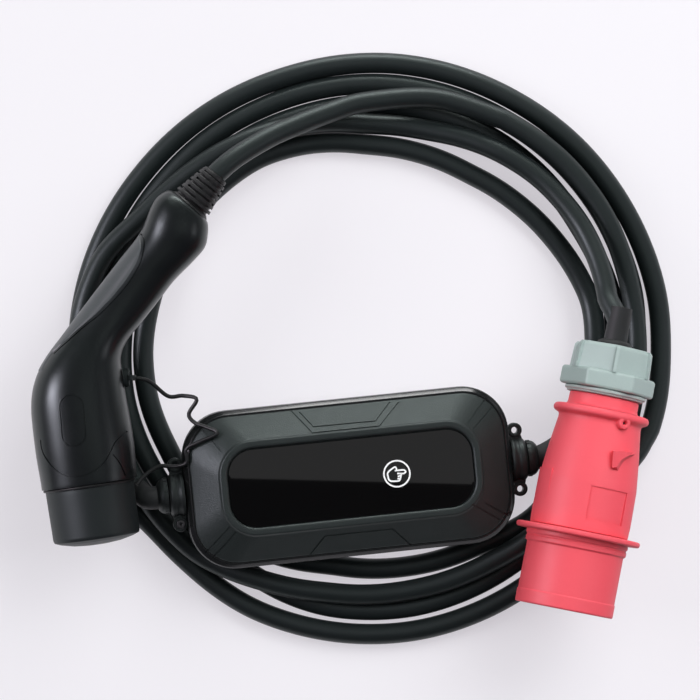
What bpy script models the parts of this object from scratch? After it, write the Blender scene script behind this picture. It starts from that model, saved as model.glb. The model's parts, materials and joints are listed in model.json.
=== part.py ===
"""Portable EV charger, lying flat: a control box between a vehicle connector and a red
five-pin supply plug, with the cable coiled round the box. Run with
blender --background --python part.py. Sizes are millimetres, scaled by MM into metres."""

import math

import bmesh
import bpy
from mathutils import Euler, Matrix, Vector

MM = 0.001
GAP = 0.3  # clearance between neighbouring pieces

# Layout on the table: the middle of the coil, seen from the frame's origin
COIL_MIDDLE = (45.9, 7.9)

# Control box, in its own frame: X along it, Z out of its face, origin under its middle
BOX_HALF_LENGTH = 95.5
BOX_HALF_WIDTH = 46.0
BOX_CORNER = 27.0
BOX_SEAM = 22.0
BOX_RIM_TOP = 45.0
BOX_WALL = 2.6
PANEL_HALF = (71.0, 22.5)
PANEL_CORNER = 15.0
PANEL_THICK = 1.4
PANEL_DEPTH = 2.6  # of the recess that the panel lies in
BOX_PLACE = (-13.6, -73.9, 8.4)  # under the box's middle
BOX_TURN = 5.8  # degrees to the left
BOX_LEAN = (0.4, 5.3)  # degrees about its own X and Y, as it rests on the cable
BOARD_HALF = (75.0, 30.0)
BOARD_HEIGHT = 8.0  # underside of the circuit board
BOARD_THICK = 1.6
TERMINAL_SIZE = (12.0, 42.0, 11.0)
GLAND_HEIGHT = 20.0
GLAND_RADIUS = 12.0
GLAND_REACH = 15.7  # collar and nut together
EAR_REACH = 17.2
EAR_RADIUS = 4.2
EAR_HOLE = 1.9

# Vehicle connector: level, on the cable strands, with x measured from GRIP_START
GRIP_START = -106.4
GRIP_AXIS_HEIGHT = 53.0
NOZZLE_RADIUS = 26.6
NOZZLE_MIDDLE = (-54.1, -79.2)  # middle of the housing's front face
NOZZLE_AIM = -81.8  # degrees from +X, the way the nozzle points
CAP_LENGTH = 31.0
CAP_WALL = 2.4
BARREL_RADIUS = 22.0
BARREL_LENGTH = 24.0
BOOT_START = (5.0, 84.9)
BOOT_AIM = 50.0
BOOT_LENGTH = 27.0
BOOT_DROP = 1.0  # below the grip's axis
EYELET_MIDDLE = (-32.6, -16.0)

# Supply plug, turned about its axis, which runs from the mouth to the nut
PLUG_MOUTH = (112.0, -149.1)
PLUG_AIM = 78.9
PLUG_AXIS_HEIGHT = 60.0  # at the mouth
PLUG_DIP = 3.0  # degrees down towards the nut, as the wide flange lifts the mouth
SHROUD_RADIUS = 28.5
SHROUD_WALL = 3.0
SHROUD_DEPTH = 30.0
FLANGE_RADIUS = 36.0
FLANGE_START = 42.6
FLANGE_THICK = 3.2
HOUSING_END = 124.5
NUT_START = 128.1
NUT_COLLAR = 10.6
NUT_END = 154.5
PIN_RADIUS = 2.5
EARTH_PIN_RADIUS = 3.0
PIN_CIRCLE = 15.0
PIN_LENGTH = 21.0
CATCH_TURN = 212.5  # degrees about the plug's axis, from straight down

# Cords
CABLE_DIAMETER = 12.2
TETHER_DIAMETER = 2.4
STRAND_TOP = CABLE_DIAMETER + 0.1  # one layer of strands

# The coil's outer shape every 30 degrees from +X: inner and outer radius, and the raised
# band where a second layer lies on the first
COIL_INNER = (127.5, 121.5, 113.3, 114.5, 123.9, 125.1, 126.3, 126.0, 135.0, 127.0, 130.2, 131.6)
COIL_OUTER = (178.6, 178.2, 176.8, 174.8, 173.3, 174.2, 178.6, 170.5, 171.5, 173.3, 173.8, 178.3)
BAND_SIDES = {240: (153.0, 159.5), 255: (139.5, 153.0), 270: (137.8, 151.2),
              285: (137.6, 151.0), 300: (138.0, 151.0), 315: (137.5, 150.5), 330: (144.0, 158.0)}
BAND_TOPS = {240: 18.0, 315: 23.4}  # where the upper strand climbs, or passes under the flange
BAND_TOP = 24.8

# Routes chosen by hand, from the coil's middle
VEHICLE_START = ((110.6, -54.6, 18.7), (118.8, -47.2, 18.8), (125.0, -38.4, 18.8))
VEHICLE_END_ANGLES = (347, 0, 15, 30, 45, 60, 75, 90, 102, 114, 122)
VEHICLE_END_RADII = (160.5, 157.0, 158.0, 160.0, 159.6, 157.6, 152.0, 145.0, 140.2, 136.6, 135.2)
VEHICLE_END_HEIGHTS = (18.8, 18.8, 18.8, 18.8, 18.8, 18.8, 20.4, 25.4, 31.6, 38.0, 43.0)
SUPPLY_START = ((-134.4, -81.1, 26.4), (-143.6, -77.0, 21.2), (-153.4, -68.2, 19.0),
                (-161.4, -55.0, 18.8))
SUPPLY_ANGLES = (190, 180, 170, 160, 150, 135, 120, 105, 90, 75, 60, 45, 30, 20, 12)
SUPPLY_RADII = (171.0, 170.0, 168.0, 164.0, 153.0, 146.4, 141.6, 137.0, 132.2, 133.0, 137.8,
                141.9, 143.6, 143.0, 141.6)
SUPPLY_HEIGHTS = (18.8, 18.8, 18.8, 18.8, 18.8, 18.8, 18.8, 18.8, 18.8, 18.8, 18.8, 19.6, 26.0,
                  34.5, 43.0)
TETHER = ((-136.4, -16.0, 53.0), (-131.6, -16.4, 52.6), (-125.5, -18.5, 51.0),
          (-115.7, -26.6, 47.0), (-107.0, -26.4, 47.0), (-99.0, -28.4, 50.0),
          (-103.6, -37.0, 48.0), (-100.0, -42.0, 49.0), (-93.2, -44.5, 51.5),
          (-87.0, -48.0, 54.5), (-97.8, -53.1, 53.2), (-105.0, -57.2, 51.3),
          (-104.6, -64.6, 50.2), (-111.0, -67.2, 48.0), (-120.0, -67.0, 46.5),
          (-128.0, -71.4, 47.0))

# Connector housing, front to back: left edge, right edge and half height of each section
HOUSING_SECTIONS = (
    ((-81.3, -82.6), (-27.1, -74.8), 27.0),
    ((-82.2, -76.0), (-27.4, -68.0), 27.2),
    ((-85.3, -57.7), (-29.1, -49.6), 27.2),
    ((-87.7, -32.9), (-33.4, -25.4), 26.4),
    ((-85.3, -17.0), (-35.4, -12.7), 25.0),
    ((-79.0, -4.4), (-36.0, -3.0), 22.6),
    ((-69.4, 8.6), (-32.2, 6.0), 19.8),
    ((-59.4, 22.0), (-24.0, 16.2), 17.8),
    ((-48.8, 36.0), (-14.4, 28.4), 17.0),
    ((-36.9, 51.4), (-5.5, 40.0), 17.0),
    ((-24.8, 67.1), (4.8, 50.4), 17.6),
    ((-19.6, 80.4), (12.0, 58.8), 18.4),
    ((-15.0, 88.2), (14.0, 67.0), 17.6),
    ((-7.6, 93.0), (14.0, 74.4), 15.0),
)
INLAY_FIRST = 5
INLAY_LAST = 10
INLAY_STEPS = (8, 9, 10, 11, 12, 13, 14, 15, 16)  # ring points that the inlay replaces
RING_POINTS = 24
INLAY_THICK = 1.6

COLOURS = {
    "box_black": ((0.035, 0.04, 0.04), 0.62, 0.0),
    "panel_glass": ((0.012, 0.012, 0.013), 0.08, 0.0),
    "seal_rubber": ((0.02, 0.02, 0.02), 0.9, 0.0),
    "board_green": ((0.03, 0.14, 0.06), 0.5, 0.0),
    "relay_blue": ((0.03, 0.07, 0.2), 0.45, 0.0),
    "part_grey": ((0.25, 0.25, 0.24), 0.5, 0.0),
    "grip_black": ((0.03, 0.032, 0.034), 0.42, 0.0),
    "inlay_grey": ((0.14, 0.15, 0.155), 0.5, 0.0),
    "cap_black": ((0.028, 0.03, 0.032), 0.55, 0.0),
    "contact_metal": ((0.75, 0.68, 0.5), 0.3, 1.0),
    "plug_red": ((0.85, 0.07, 0.09), 0.42, 0.0),
    "nut_grey": ((0.45, 0.5, 0.47), 0.5, 0.0),
    "cable_black": ((0.03, 0.036, 0.037), 0.58, 0.0),
}


def material(name):
    """One Principled material, made once."""
    found = bpy.data.materials.get(name)
    if found:
        return found
    colour, roughness, metallic = COLOURS[name]
    made = bpy.data.materials.new(name)
    made.use_nodes = True
    shader = made.node_tree.nodes["Principled BSDF"]
    shader.inputs["Base Color"].default_value = (*colour, 1.0)
    shader.inputs["Roughness"].default_value = roughness
    shader.inputs["Metallic"].default_value = metallic
    return made


def empty(name, parent=None, location=(0, 0, 0), rotation=(0, 0, 0)):
    """A frame that pieces hang on; location in millimetres, rotation in degrees."""
    held = bpy.data.objects.new(name, None)
    held.location = Vector(location) * MM
    held.rotation_euler = Euler([math.radians(a) for a in rotation])
    held.parent = parent
    bpy.context.scene.collection.objects.link(held)
    return held


def add(name, mesh_data, look, parent, place=None):
    """An object from a bmesh in millimetres, with its normals set outward."""
    bmesh.ops.recalc_face_normals(mesh_data, faces=mesh_data.faces)
    mesh = bpy.data.meshes.new(name)
    mesh_data.to_mesh(mesh)
    mesh_data.free()
    if place is not None:
        mesh.transform(place)
    mesh.transform(Matrix.Scale(MM, 4))
    mesh.shade_smooth()
    mesh.set_sharp_from_angle(angle=math.radians(32))
    mesh.materials.append(material(look))
    made = bpy.data.objects.new(name, mesh)
    made.parent = parent
    bpy.context.scene.collection.objects.link(made)
    return made


def skin(name, rings, look, parent, place=None, loop=False):
    """A closed solid through rings of points; with loop it closes on itself."""
    built = bmesh.new()
    rows = [[built.verts.new(point) for point in ring] for ring in rings]
    pairs = list(zip(rows, rows[1:]))
    if loop:
        pairs.append((rows[-1], rows[0]))
    else:
        built.faces.new(rows[0])
        built.faces.new(rows[-1])
    for first, second in pairs:
        for i in range(len(first)):
            j = (i + 1) % len(first)
            built.faces.new((first[i], first[j], second[j], second[i]))
    return add(name, built, look, parent, place)


def turned(name, profile, look, parent, place=None, sides=32):
    """A solid of revolution about Z through (radius, height) pairs, capped at both ends."""
    rings = []
    for radius, height in profile:
        angles = [math.tau * i / sides for i in range(sides)]
        rings.append([(radius * math.cos(a), radius * math.sin(a), height) for a in angles])
    return skin(name, rings, look, parent, place)


def turned_ring(name, profile, look, parent, place=None, sides=32):
    """A ring of revolution about Z whose closed profile keeps clear of the axis."""
    rings = []
    for i in range(sides):
        a = math.tau * i / sides
        rings.append([(r * math.cos(a), r * math.sin(a), h) for r, h in profile])
    return skin(name, rings, look, parent, place, loop=True)


def block(name, middle, size, look, parent, bevel=0.8):
    """A box with bevelled edges."""
    built = bmesh.new()
    bmesh.ops.create_cube(built, size=1.0)
    bmesh.ops.scale(built, vec=size, verts=built.verts)
    bmesh.ops.bevel(built, geom=built.edges[:], offset=bevel, segments=1, affect="EDGES")
    bmesh.ops.translate(built, vec=middle, verts=built.verts)
    return add(name, built, look, parent)


def boolean(target, other, operation):
    """Joins another object to the target or cuts it out; the other one is not rendered."""
    step = target.modifiers.new(other.name, "BOOLEAN")
    step.operation = operation
    step.object = other
    other.hide_render = True
    other.display_type = "WIRE"


def outline(half_length, half_width, corner, height, steps=6):
    """A rounded rectangle at one height, with the same number of points whatever its size."""
    points = []
    for quarter in range(4):
        sx = (1, -1, -1, 1)[quarter]
        sy = (1, 1, -1, -1)[quarter]
        for i in range(steps + 1):
            a = math.radians(90 * quarter + 90 * i / steps)
            x = sx * (half_length - corner) + corner * math.cos(a)
            y = sy * (half_width - corner) + corner * math.sin(a)
            points.append((x, y, height))
    return points


def box_outline(inset, height):
    """The control box's outline, pulled in all round."""
    return outline(BOX_HALF_LENGTH - inset, BOX_HALF_WIDTH - inset, BOX_CORNER - 0.7 * inset, height)


def panel_outline(outset, height):
    """The touch panel's outline, grown all round."""
    return outline(PANEL_HALF[0] + outset, PANEL_HALF[1] + outset, PANEL_CORNER + outset, height)


def polar(radius, degrees, height):
    """A point about the coil's middle."""
    a = math.radians(degrees)
    return Vector((radius * math.cos(a), radius * math.sin(a), height))


def smooth_route(points, spacing):
    """Points a set distance apart on a smooth curve through the route's own points."""
    points = [Vector(p) for p in points]
    padded = [2 * points[0] - points[1], *points, 2 * points[-1] - points[-2]]
    dense = []
    for i in range(1, len(padded) - 2):
        p0, p1, p2, p3 = padded[i - 1:i + 3]
        for k in range(24):
            t = k / 24
            bend = (2 * p1 + (p2 - p0) * t + (2 * p0 - 5 * p1 + 4 * p2 - p3) * t ** 2
                    + (3 * p1 - p0 - 3 * p2 + p3) * t ** 3)
            dense.append(bend / 2)
    dense.append(points[-1])
    run = [0.0]
    for a, b in zip(dense, dense[1:]):
        run.append(run[-1] + (b - a).length)
    count = max(2, round(run[-1] / spacing))
    picked = []
    k = 0
    for i in range(count + 1):
        wanted = run[-1] * i / count
        while k < len(run) - 2 and run[k + 1] < wanted:
            k += 1
        t = (wanted - run[k]) / (run[k + 1] - run[k])
        picked.append(dense[k].lerp(dense[k + 1], t))
    return picked


def tube(name, route, diameter, look, parent, resolution):
    """A round cord along a smooth route, straight over its first and last steps."""
    points = [Vector(route[0]), *smooth_route(route[1:-1], 2.2 * diameter), Vector(route[-1])]
    curve = bpy.data.curves.new(name, "CURVE")
    curve.dimensions = "3D"
    curve.bevel_depth = diameter / 2 * MM
    curve.bevel_resolution = resolution
    curve.use_fill_caps = True
    line = curve.splines.new("POLY")
    line.points.add(len(points) - 1)
    for point, place in zip(line.points, points):
        point.co = (*(place * MM), 1.0)
    curve.materials.append(material(look))
    made = bpy.data.objects.new(name, curve)
    made.parent = parent
    bpy.context.scene.collection.objects.link(made)
    return made


def control_box(parent):
    """Two shells with a seal between them, a face panel in a raised rim, and the electronics."""
    base = [box_outline(9.0, 0.0), box_outline(4.6, 4.5), box_outline(1.8, 11.0), box_outline(0.4, 17.0),
            box_outline(0.0, BOX_SEAM - 0.5), box_outline(BOX_WALL, BOX_SEAM - 0.5),
            box_outline(4.6, 11.0), box_outline(8.0, 6.0), box_outline(12.0, 3.0)]
    shell = skin("box_base", base, "box_black", parent)
    for n in range(4):
        x = BOARD_HALF[0] - 7.0 if n % 2 else 7.0 - BOARD_HALF[0]
        y = BOARD_HALF[1] - 6.0 if n > 1 else 6.0 - BOARD_HALF[1]
        boss = ((3.4, 1.5), (3.0, BOARD_HEIGHT - GAP))
        at = Matrix.Translation((x, y, 0))
        boolean(shell, turned(f"board_boss_{n + 1}", boss, "box_black", parent, at, 16), "UNION")
    ledge = BOX_RIM_TOP - PANEL_DEPTH
    cover = [box_outline(24.0, ledge - 3.4), box_outline(5.0, 29.5),
             box_outline(BOX_WALL, BOX_SEAM + 0.5), box_outline(0.0, BOX_SEAM + 0.5),
             box_outline(0.8, 30.0), panel_outline(5.0, BOX_RIM_TOP - 1.4),
             panel_outline(4.0, BOX_RIM_TOP), panel_outline(1.0, BOX_RIM_TOP),
             panel_outline(GAP, BOX_RIM_TOP - 0.8), panel_outline(GAP, ledge)]
    skin("box_cover", cover, "box_black", parent)
    seal = [box_outline(0.9, BOX_SEAM - 0.2), box_outline(0.9, BOX_SEAM + 0.2),
            box_outline(2.1, BOX_SEAM + 0.2), box_outline(2.1, BOX_SEAM - 0.2)]
    skin("box_seal", seal, "seal_rubber", parent, loop=True)
    top = ledge + GAP + PANEL_THICK
    panel = [panel_outline(0.0, ledge + GAP), panel_outline(0.0, top - 0.4), panel_outline(-0.4, top)]
    skin("touch_panel", panel, "panel_glass", parent)


def electronics(parent):
    """The board on the floor of the box and what stands on it."""
    size = (2 * BOARD_HALF[0], 2 * BOARD_HALF[1], BOARD_THICK)
    block("circuit_board", (0, 0, BOARD_HEIGHT + BOARD_THICK / 2), size, "board_green", parent, bevel=0.3)
    above = BOARD_HEIGHT + BOARD_THICK + GAP
    for i in range(3):
        block(f"relay_{i + 1}", (-8 + 21 * i, 14, above + 8), (18, 22, 16), "relay_blue", parent)
    width, depth, height = TERMINAL_SIZE
    block("transformer", (1.8 * width + 12 - BOARD_HALF[0], 14, above + 8.5), (24, 20, 17), "part_grey", parent)
    for name, side in (("input_terminals", 1), ("output_terminals", -1)):
        x = side * (BOARD_HALF[0] - width)
        block(name, (x, 0, above + height / 2), (width, depth, height), "part_grey", parent)
    ring = ((6.5, 0.0), (12.0, 0.0), (12.0, 9.0), (6.5, 9.0))
    turned_ring("current_sensor", ring, "relay_blue", parent, Matrix.Translation((30, -14, above)), 24)
    can = ((5.8, 0.0), (6.2, 0.6), (6.2, 19.0), (5.6, 19.6))
    turned("capacitor", can, "part_grey", parent, Matrix.Translation((-38, -14, above)), 20)


def gland(side, parent):
    """The clamped gland on one end of the box: a collar with two screw ears, and its nut."""
    name = "right" if side > 0 else "left"
    quarter = Matrix.Rotation(math.radians(90 * side), 4, "Y")
    wall = side * (BOX_HALF_LENGTH + GAP)
    place = Matrix.Translation((wall, 0, GLAND_HEIGHT)) @ quarter
    profile = ((GLAND_RADIUS, 0.0), (GLAND_RADIUS + 0.6, 1.5), (GLAND_RADIUS, 3.0), (GLAND_RADIUS, 8.0),
               (GLAND_RADIUS - 1.4, 9.0))
    collar = turned(f"{name}_gland", profile, "box_black", parent, place, 28)
    bar = bmesh.new()
    bmesh.ops.create_cube(bar, size=1.0)
    bmesh.ops.scale(bar, vec=(2 * EAR_RADIUS - 2.0, 2 * EAR_REACH, 5.6), verts=bar.verts)
    middle = (wall + side * (EAR_RADIUS + 0.2), 0, GLAND_HEIGHT - 1)
    bmesh.ops.translate(bar, vec=middle, verts=bar.verts)
    boolean(collar, add(f"{name}_ear_bar", bar, "box_black", parent), "UNION")
    for sign in (-1, 1):
        at = Matrix.Translation((middle[0], sign * EAR_REACH, GLAND_HEIGHT - 4))
        word = "upper" if sign > 0 else "lower"
        ear = ((EAR_RADIUS, 0.0), (EAR_RADIUS, 6.0))
        boolean(collar, turned(f"{name}_{word}_ear", ear, "box_black", parent, at, 20), "UNION")
    for sign in (-1, 1):
        at = Matrix.Translation((middle[0], sign * EAR_REACH, GLAND_HEIGHT - 9))
        word = "upper" if sign > 0 else "lower"
        drill = ((EAR_HOLE, 0.0), (EAR_HOLE, 16.0))
        boolean(collar, turned(f"{name}_{word}_drill", drill, "box_black", parent, at, 16), "DIFFERENCE")
    outer = Matrix.Translation((wall + side * (9.0 + GAP), 0, GLAND_HEIGHT)) @ quarter
    nut = ((10.6, 0.0), (10.6, 3.0), (8.6, 4.4), (7.6, 6.4))
    turned(f"{name}_gland_nut", nut, "box_black", parent, outer, 28)


def ring_point(section, i, outset):
    """Point i on a rounded section of the connector housing, moved out along its own radius."""
    left, right, half_height = section
    left = Vector((*left, 0))
    right = Vector((*right, 0))
    middle = (left + right) / 2
    across = (right - left) / 2
    t = math.tau * i / RING_POINTS
    c = math.copysign(abs(math.cos(t)) ** 0.86, math.cos(t))
    s = math.copysign(abs(math.sin(t)) ** 0.86, math.sin(t))
    width = across.length
    return (middle + across * c * (width + outset) / width
            + Vector((0, 0, 1)) * s * (half_height + outset))


def connector_housing(parent):
    """The pistol-shaped grip, with a shallow pocket along its back for the inlay."""
    rings = []
    for k, section in enumerate(HOUSING_SECTIONS):
        pocket = INLAY_FIRST <= k <= INLAY_LAST
        ring = []
        for i in range(RING_POINTS):
            deep = pocket and i in INLAY_STEPS
            ring.append(ring_point(section, i, -INLAY_THICK - 2 * GAP if deep else 0.0))
        rings.append(ring)
    skin("connector_housing", rings, "grip_black", parent)
    strips = []
    for k in range(INLAY_FIRST, INLAY_LAST + 1):
        taper = 1 if k in (INLAY_FIRST, INLAY_LAST) else 0
        first = INLAY_STEPS[1] + taper
        width = INLAY_STEPS[-2] - taper - first
        spread = [first + width * i / 6 for i in range(7)]
        outer = [ring_point(HOUSING_SECTIONS[k], i, 0.0) for i in spread]
        inner = [ring_point(HOUSING_SECTIONS[k], i, -INLAY_THICK) for i in reversed(spread)]
        strips.append(outer + inner)
    skin("grip_inlay", strips, "inlay_grey", parent)


def connector_front(parent):
    """The nozzle: barrel, contact carrier and sleeves under the push-on dust cap."""
    front = Matrix.Translation((*NOZZLE_MIDDLE, 0))
    front @= Matrix.Rotation(math.radians(NOZZLE_AIM), 4, "Z")
    front @= Matrix.Rotation(math.radians(90), 4, "Y")
    outer = NOZZLE_RADIUS
    inner = NOZZLE_RADIUS - CAP_WALL
    cap = ((outer - 0.6, CAP_LENGTH - 3.4), (outer - 1.8, CAP_LENGTH - 1.0), (outer - 5.0, CAP_LENGTH),)
    cup = ((inner, CAP_LENGTH - 3.0), (inner, GAP), (outer, GAP)) + cap
    turned("dust_cap", cup, "cap_black", parent, front, 40)
    tube_wall = ((BARREL_RADIUS, GAP), (BARREL_RADIUS, BARREL_LENGTH), (BARREL_RADIUS - 2.2, BARREL_LENGTH),
                 (BARREL_RADIUS - 2.2, GAP))
    turned_ring("nozzle_barrel", tube_wall, "grip_black", parent, front, 32)
    carrier_top = 10.0
    carrier = ((BARREL_RADIUS - 2.5, GAP), (BARREL_RADIUS - 2.5, carrier_top))
    turned("contact_carrier", carrier, "part_grey", parent, front, 32)
    spots = [(0.0, 0.0)]
    for i in range(4):
        a = math.radians(-135 + 90 * i)
        spots.append((11.5 * math.cos(a), 11.5 * math.sin(a)))
    spots += [(-13.4, 0.0), (13.4, 0.0)]
    for n, (x, y) in enumerate(spots):
        radius = 2.4 if n > 4 else 3.4
        sleeve = ((radius, 0.0), (radius, 10.0), (radius - 1.0, 10.0), (radius - 1.0, 0.0))
        at = front @ Matrix.Translation((x, y, carrier_top + GAP))
        turned_ring(f"contact_sleeve_{n + 1}", sleeve, "contact_metal", parent, at, 14)


def connector_trim(parent):
    """The ribbed boot and the tether's eyelet."""
    aim = Matrix.Rotation(math.radians(BOOT_AIM), 4, "Z") @ Matrix.Rotation(math.radians(90), 4, "Y")
    boot = Matrix.Translation((*BOOT_START, -BOOT_DROP)) @ aim
    profile = [(10.6, 0.0)]
    ribs = 7
    for i in range(ribs):
        start = BOOT_LENGTH * i / ribs
        radius = 10.6 - 3.0 * i / ribs
        step = BOOT_LENGTH / ribs
        profile += [(radius, start + 0.1 + 0.45 * step), (radius - 1.0, start + 0.6 * step),
                    (radius - 1.0, start + 0.8 * step), (radius - 0.4, start + 0.95 * step)]
    profile.append((7.2, BOOT_LENGTH + 0.6))
    turned("cable_boot", profile, "grip_black", parent, boot, 24)
    block("tether_eyelet", (*EYELET_MIDDLE, 0), (3.0, 11.0, 5.0), "cap_black", parent, 0.8)


def supply_plug(parent):
    """The red five-pin plug: shroud, pins, rear housing, seal and grey gland nut."""
    frame = Matrix.Translation((*PLUG_MOUTH, PLUG_AXIS_HEIGHT))
    frame @= Matrix.Rotation(math.radians(PLUG_AIM), 4, "Z")
    frame @= Matrix.Rotation(math.radians(90 + PLUG_DIP), 4, "Y")
    bore = SHROUD_RADIUS - SHROUD_WALL
    flange_end = FLANGE_START + FLANGE_THICK
    shroud = ((bore, SHROUD_DEPTH), (bore, 0.6), (bore + 0.5, 0.0), (SHROUD_RADIUS - 0.6, 0.0),
              (SHROUD_RADIUS, 0.8), (SHROUD_RADIUS, 7.4), (SHROUD_RADIUS - 0.5, 8.0),
              (SHROUD_RADIUS - 0.5, 35.6), (SHROUD_RADIUS + 0.8, 36.4), (SHROUD_RADIUS + 0.8, FLANGE_START),
              (FLANGE_RADIUS - 0.8, FLANGE_START), (FLANGE_RADIUS, FLANGE_START + 0.8),
              (FLANGE_RADIUS, flange_end - 0.8), (FLANGE_RADIUS - 0.8, flange_end))
    turned("plug_shroud", shroud, "plug_red", parent, frame, 40)
    carrier = ((bore - 4.0, SHROUD_DEPTH - 4.0), (bore - GAP, SHROUD_DEPTH - 3.0),
               (bore - GAP, SHROUD_DEPTH - GAP))
    turned("pin_carrier", carrier, "part_grey", parent, frame, 40)
    tip = SHROUD_DEPTH - 4.0 - GAP - PIN_LENGTH
    for n in range(5):
        a = math.radians(-90 + 72 * n)
        radius = EARTH_PIN_RADIUS if n == 0 else PIN_RADIUS
        at = frame @ Matrix.Translation((PIN_CIRCLE * math.cos(a), PIN_CIRCLE * math.sin(a), tip))
        pin = ((radius - 1.0, 0.0), (radius, 1.4), (radius, PIN_LENGTH))
        turned(f"plug_pin_{n + 1}", pin, "contact_metal", parent, at, 16)
    body = ((28.4, flange_end + GAP), (28.8, 54.0), (28.4, 74.0), (26.4, 92.0), (23.8, 111.6),
            (27.4, 112.2), (27.9, 113.4), (27.4, 116.4), (20.2, 117.0), (20.0, HOUSING_END))
    turned("plug_housing", body, "plug_red", parent, frame, 40)
    catch = []
    for height, low, high, spread in ((82.0, 28.0, 29.0, 4), (92.0, 27.6, 31.6, 10.5), (93.5, 27.4, 31.0, 10.5)):
        corners = ((low, -spread), (low, spread), (high, spread), (high, -spread))
        turns = [(r, math.radians(CATCH_TURN + a)) for r, a in corners]
        catch.append([(r * math.cos(a), r * math.sin(a), height) for r, a in turns])
    skin("plug_catch", catch, "plug_red", parent, frame)
    seal = ((20.0, HOUSING_END + GAP), (23.0, HOUSING_END + 0.8), (23.0, NUT_START - 0.8),
            (20.0, NUT_START - GAP))
    turned("nut_seal", seal, "nut_grey", parent, frame, 32)
    collar_end = NUT_START + NUT_COLLAR
    nut = ((27.0, NUT_START), (27.8, NUT_START + 1.2), (27.8, collar_end - 1.4), (27.0, collar_end),
           (22.4, collar_end + 0.6), (21.0, NUT_END - 1.0), (20.0, NUT_END))
    turned("plug_nut", nut, "nut_grey", parent, frame, 14)
    grommet = ((10.5, NUT_END + GAP), (10.0, NUT_END + 2.0), (8.0, NUT_END + 3.0))
    turned("cable_grommet", grommet, "seal_rubber", parent, frame, 24)


def coil_section(inner, outer, low, high, band):
    """One cut through the coil, from inside to outside; the band may be flush with the top."""
    top = STRAND_TOP
    return [(inner + 1.5, 0.1), (outer - 1.5, 0.1), (outer, 3.0), (outer, top - 2.0), (outer - 2.0, top),
            (high + 1.0, top), (high, band), (low, band), (low - 1.0, top), (inner + 2.0, top),
            (inner, top - 2.0), (inner, 3.0)]


def cable_coil(parent):
    """The turns of the vehicle cable that lie beside and on each other."""
    rings = []
    for degrees in range(0, 360, 15):
        k = degrees // 30
        share = (degrees % 30) / 30
        inner = COIL_INNER[k] * (1 - share) + COIL_INNER[(k + 1) % 12] * share
        outer = COIL_OUTER[k] * (1 - share) + COIL_OUTER[(k + 1) % 12] * share
        low, high = BAND_SIDES.get(degrees, ((inner + outer) / 2 - 4, (inner + outer) / 2 + 4))
        band = BAND_TOPS.get(degrees, BAND_TOP) if degrees in BAND_SIDES else STRAND_TOP + 0.1
        ring = [polar(r, degrees, h) for r, h in coil_section(inner, outer, low, high, band)]
        rings.append(ring)
    skin("cable_coil", rings, "cable_black", parent, loop=True)


def cords(parent):
    """The free stretches of cable, and the tether from the grip to the dust cap."""
    lean = Euler([math.radians(a) for a in (*BOX_LEAN, BOX_TURN)]).to_matrix()
    reach = BOX_HALF_LENGTH + GLAND_REACH + 2 * GAP
    outward = lean @ Vector((1, 0, 0))
    left = Vector(BOX_PLACE) + lean @ Vector((-reach, 0, GLAND_HEIGHT))
    right = Vector(BOX_PLACE) + lean @ Vector((reach, 0, GLAND_HEIGHT))
    leads = {"vehicle_cable_start": [right, right + 8 * outward, *VEHICLE_START]}
    ending = [polar(r, a, h) for a, r, h in
              zip(VEHICLE_END_ANGLES, VEHICLE_END_RADII, VEHICLE_END_HEIGHTS)]
    boot = Vector((GRIP_START + BOOT_START[0], BOOT_START[1], GRIP_AXIS_HEIGHT - BOOT_DROP))
    aim = Vector((math.cos(math.radians(BOOT_AIM)), math.sin(math.radians(BOOT_AIM)), 0))
    ending += [boot + aim * (BOOT_LENGTH + 9.0), boot + aim * (BOOT_LENGTH + 0.6 + GAP)]
    leads["vehicle_cable_end"] = ending
    supply = [left, left - 5.3 * outward, *SUPPLY_START]
    supply += [polar(r, a, h) for a, r, h in zip(SUPPLY_ANGLES, SUPPLY_RADII, SUPPLY_HEIGHTS)]
    axis = Euler((0, math.radians(PLUG_DIP), math.radians(PLUG_AIM))).to_matrix() @ Vector((1, 0, 0))
    mouth = Vector((*PLUG_MOUTH, PLUG_AXIS_HEIGHT))
    supply += [mouth + axis * (NUT_END + 11.0), mouth + axis * (NUT_END + 3.0 + GAP)]
    leads["supply_cable"] = supply
    for name, points in leads.items():
        tube(name, points, CABLE_DIAMETER, "cable_black", parent, 3)
    tube("cap_tether", TETHER, TETHER_DIAMETER, "seal_rubber", parent, 2)


def build():
    for old in list(bpy.data.objects):
        bpy.data.objects.remove(old)
    layout = empty("layout", None, (*COIL_MIDDLE, 0))
    box = empty("box_frame", layout, BOX_PLACE, (BOX_LEAN[0], BOX_LEAN[1], BOX_TURN))
    control_box(box)
    electronics(box)
    gland(-1, box)
    gland(1, box)
    grip = empty("grip_frame", layout, (GRIP_START, 0, GRIP_AXIS_HEIGHT))
    connector_housing(grip)
    connector_front(grip)
    connector_trim(grip)
    supply_plug(layout)
    cable_coil(layout)
    cords(layout)


build()
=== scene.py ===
"""Looks of the portable EV charger: cables as real lengths, then detailed pieces over the solids.
Shapes are worked out in millimetres and scaled by MM into metres."""

import json
import math

import bmesh
import bpy
import numpy as np
from mathutils import Euler, Matrix, Vector
from mathutils.bvhtree import BVHTree

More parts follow.
